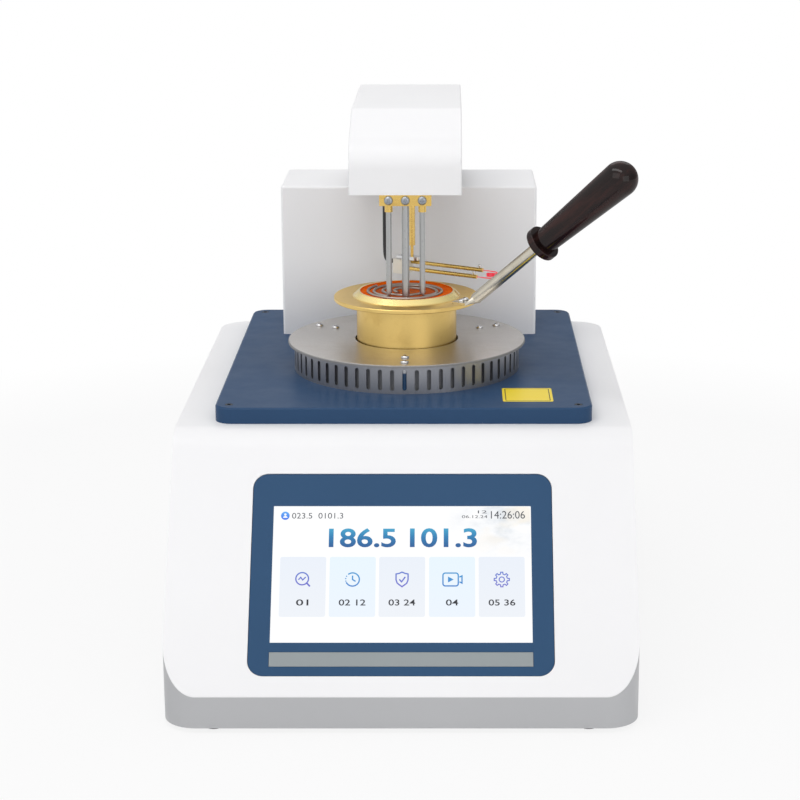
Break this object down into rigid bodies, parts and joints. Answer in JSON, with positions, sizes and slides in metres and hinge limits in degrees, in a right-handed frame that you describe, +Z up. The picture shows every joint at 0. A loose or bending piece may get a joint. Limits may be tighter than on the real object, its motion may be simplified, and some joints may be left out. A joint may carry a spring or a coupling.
{
  "type": "open-cup flash point tester",
  "caption": "Automatic open-cup flash point tester: sloped touch-screen base, slotted heat shield, brass cup with handle, and a lifting head with probe and swinging igniter.",
  "frame": {"origin": "on the bench, under the middle of the whole object's bounding box, handle and rear inlet included", "axes": "+Z up, the screen and the operator are at -Y, the test cup's handle points to +X"},
  "size_m": [0.293, 0.412, 0.3451],
  "materials": {
    "white_paint": "smooth white powder coat",
    "grey_paint": "smooth light grey powder coat",
    "tray_metal": "zinc-plated sheet",
    "rubber_black": "matt",
    "screw_steel": "plain machine screws",
    "dark_screw": "black oxide",
    "bezel_blue": "satin blue paint",
    "strip_grey": "satin foil strip",
    "screen_glass": "lit touch screen",
    "frame_black": "black",
    "board_green": "circuit board",
    "supply_metal": "folded sheet",
    "deck_blue": "satin blue-grey paint, scuffed",
    "shield_metal": "bead-blasted and heat-marked",
    "heater_metal": "dark, heat-stained",
    "insulation": "fibre board",
    "steel_rod": "ground rod",
    "block_metal": "milled",
    "motor_black": "black",
    "probe_steel": "stainless tube",
    "brass": "turned, lightly tarnished",
    "ceramic_white": "matt white",
    "hot_wire": "hot wire",
    "lead_black": "flexible sleeve",
    "grip_brown": "dark turned wood, lacquered",
    "plastic_black": "moulded black"
  },
  "bodies": {
    "base": {"housing_walls": "grey_paint", "fascia_cover": "white_paint", "base_tray": "tray_metal", "rubber_feet": "rubber_black", "foot_screws": "screw_steel", "screen_bezel": "bezel_blue", "name_strip": "strip_grey", "display_panel": "screen_glass", "panel_frame": "frame_black", "control_board": "board_green", "power_supply": "supply_metal", "deck_plate": "deck_blue", "plate_screws": "dark_screw", "shield_band": "shield_metal", "shield_disc": "shield_metal", "shield_posts": "block_metal", "shield_screws": "screw_steel", "heater_plate": "heater_metal", "heating_element": "probe_steel", "insulation_ring": "insulation", "column_shell": "white_paint", "guide_block": "block_metal", "guide_bushes": "brass", "column_pillars": "steel_rod", "lift_motor": "motor_black", "inlet_socket": "plastic_black", "inlet_pins": "brass", "switch_frame": "plastic_black", "data_port": "plastic_black", "fan_frame": "plastic_black"},
    "head": {"guide_rods": "steel_rod", "lift_screw": "steel_rod", "head_hood": "white_paint", "head_chassis": "block_metal", "probe_bracket": "brass", "bracket_screws": "screw_steel", "probe_sockets": "brass", "temperature_probe": "probe_steel", "electrode_stems": "probe_steel", "outer_electrode": "probe_steel", "inner_electrode": "probe_steel", "igniter_motor": "motor_black", "shaft_bush": "brass"},
    "igniter": {"igniter_shaft": "brass", "igniter_lug": "screw_steel", "ceramic_block": "ceramic_white", "block_screw": "screw_steel", "lead_tubes": "brass", "tube_set_screws": "screw_steel", "glow_coil": "hot_wire", "igniter_lead": "lead_black"},
    "cup": {"test_cup": "brass", "handle_strap": "probe_steel", "strap_screws": "screw_steel", "grip_collar": "grip_brown", "handle_grip": "grip_brown"},
    "rocker": {"power_rocker": "plastic_black"},
    "fan": {"fan_rotor": "plastic_black"}
  },
  "joints": [
    {"name": "head_lift", "type": "slide", "parent": "base", "child": "head", "axis": [0, 0, 1], "range_m": [0, 0.075]},
    {"name": "igniter_swing", "type": "hinge", "parent": "head", "child": "igniter", "pos_m": [0.00129, 0.083, 0.2721], "axis": [0, 0, -1], "range_deg": [0, 125], "deforming": ["igniter_lead"]},
    {"name": "cup_lift", "type": "slide", "parent": "base", "child": "cup", "axis": [0, 0, 1], "range_m": [0, 0.04]},
    {"name": "rocker_tip", "type": "hinge", "parent": "base", "child": "rocker", "pos_m": [-0.09751, 0.2, 0.092], "axis": [1, 0, 0], "range_deg": [0, 20]},
    {"name": "fan_spin", "type": "hinge", "parent": "base", "child": "fan", "pos_m": [0.07449, 0.189, 0.088], "axis": [0, 1, 0], "continuous": true}
  ],
  "couplings": [
    {"joint": "cup_lift", "follows": "head_lift", "ratio": 0.5}
  ]
}
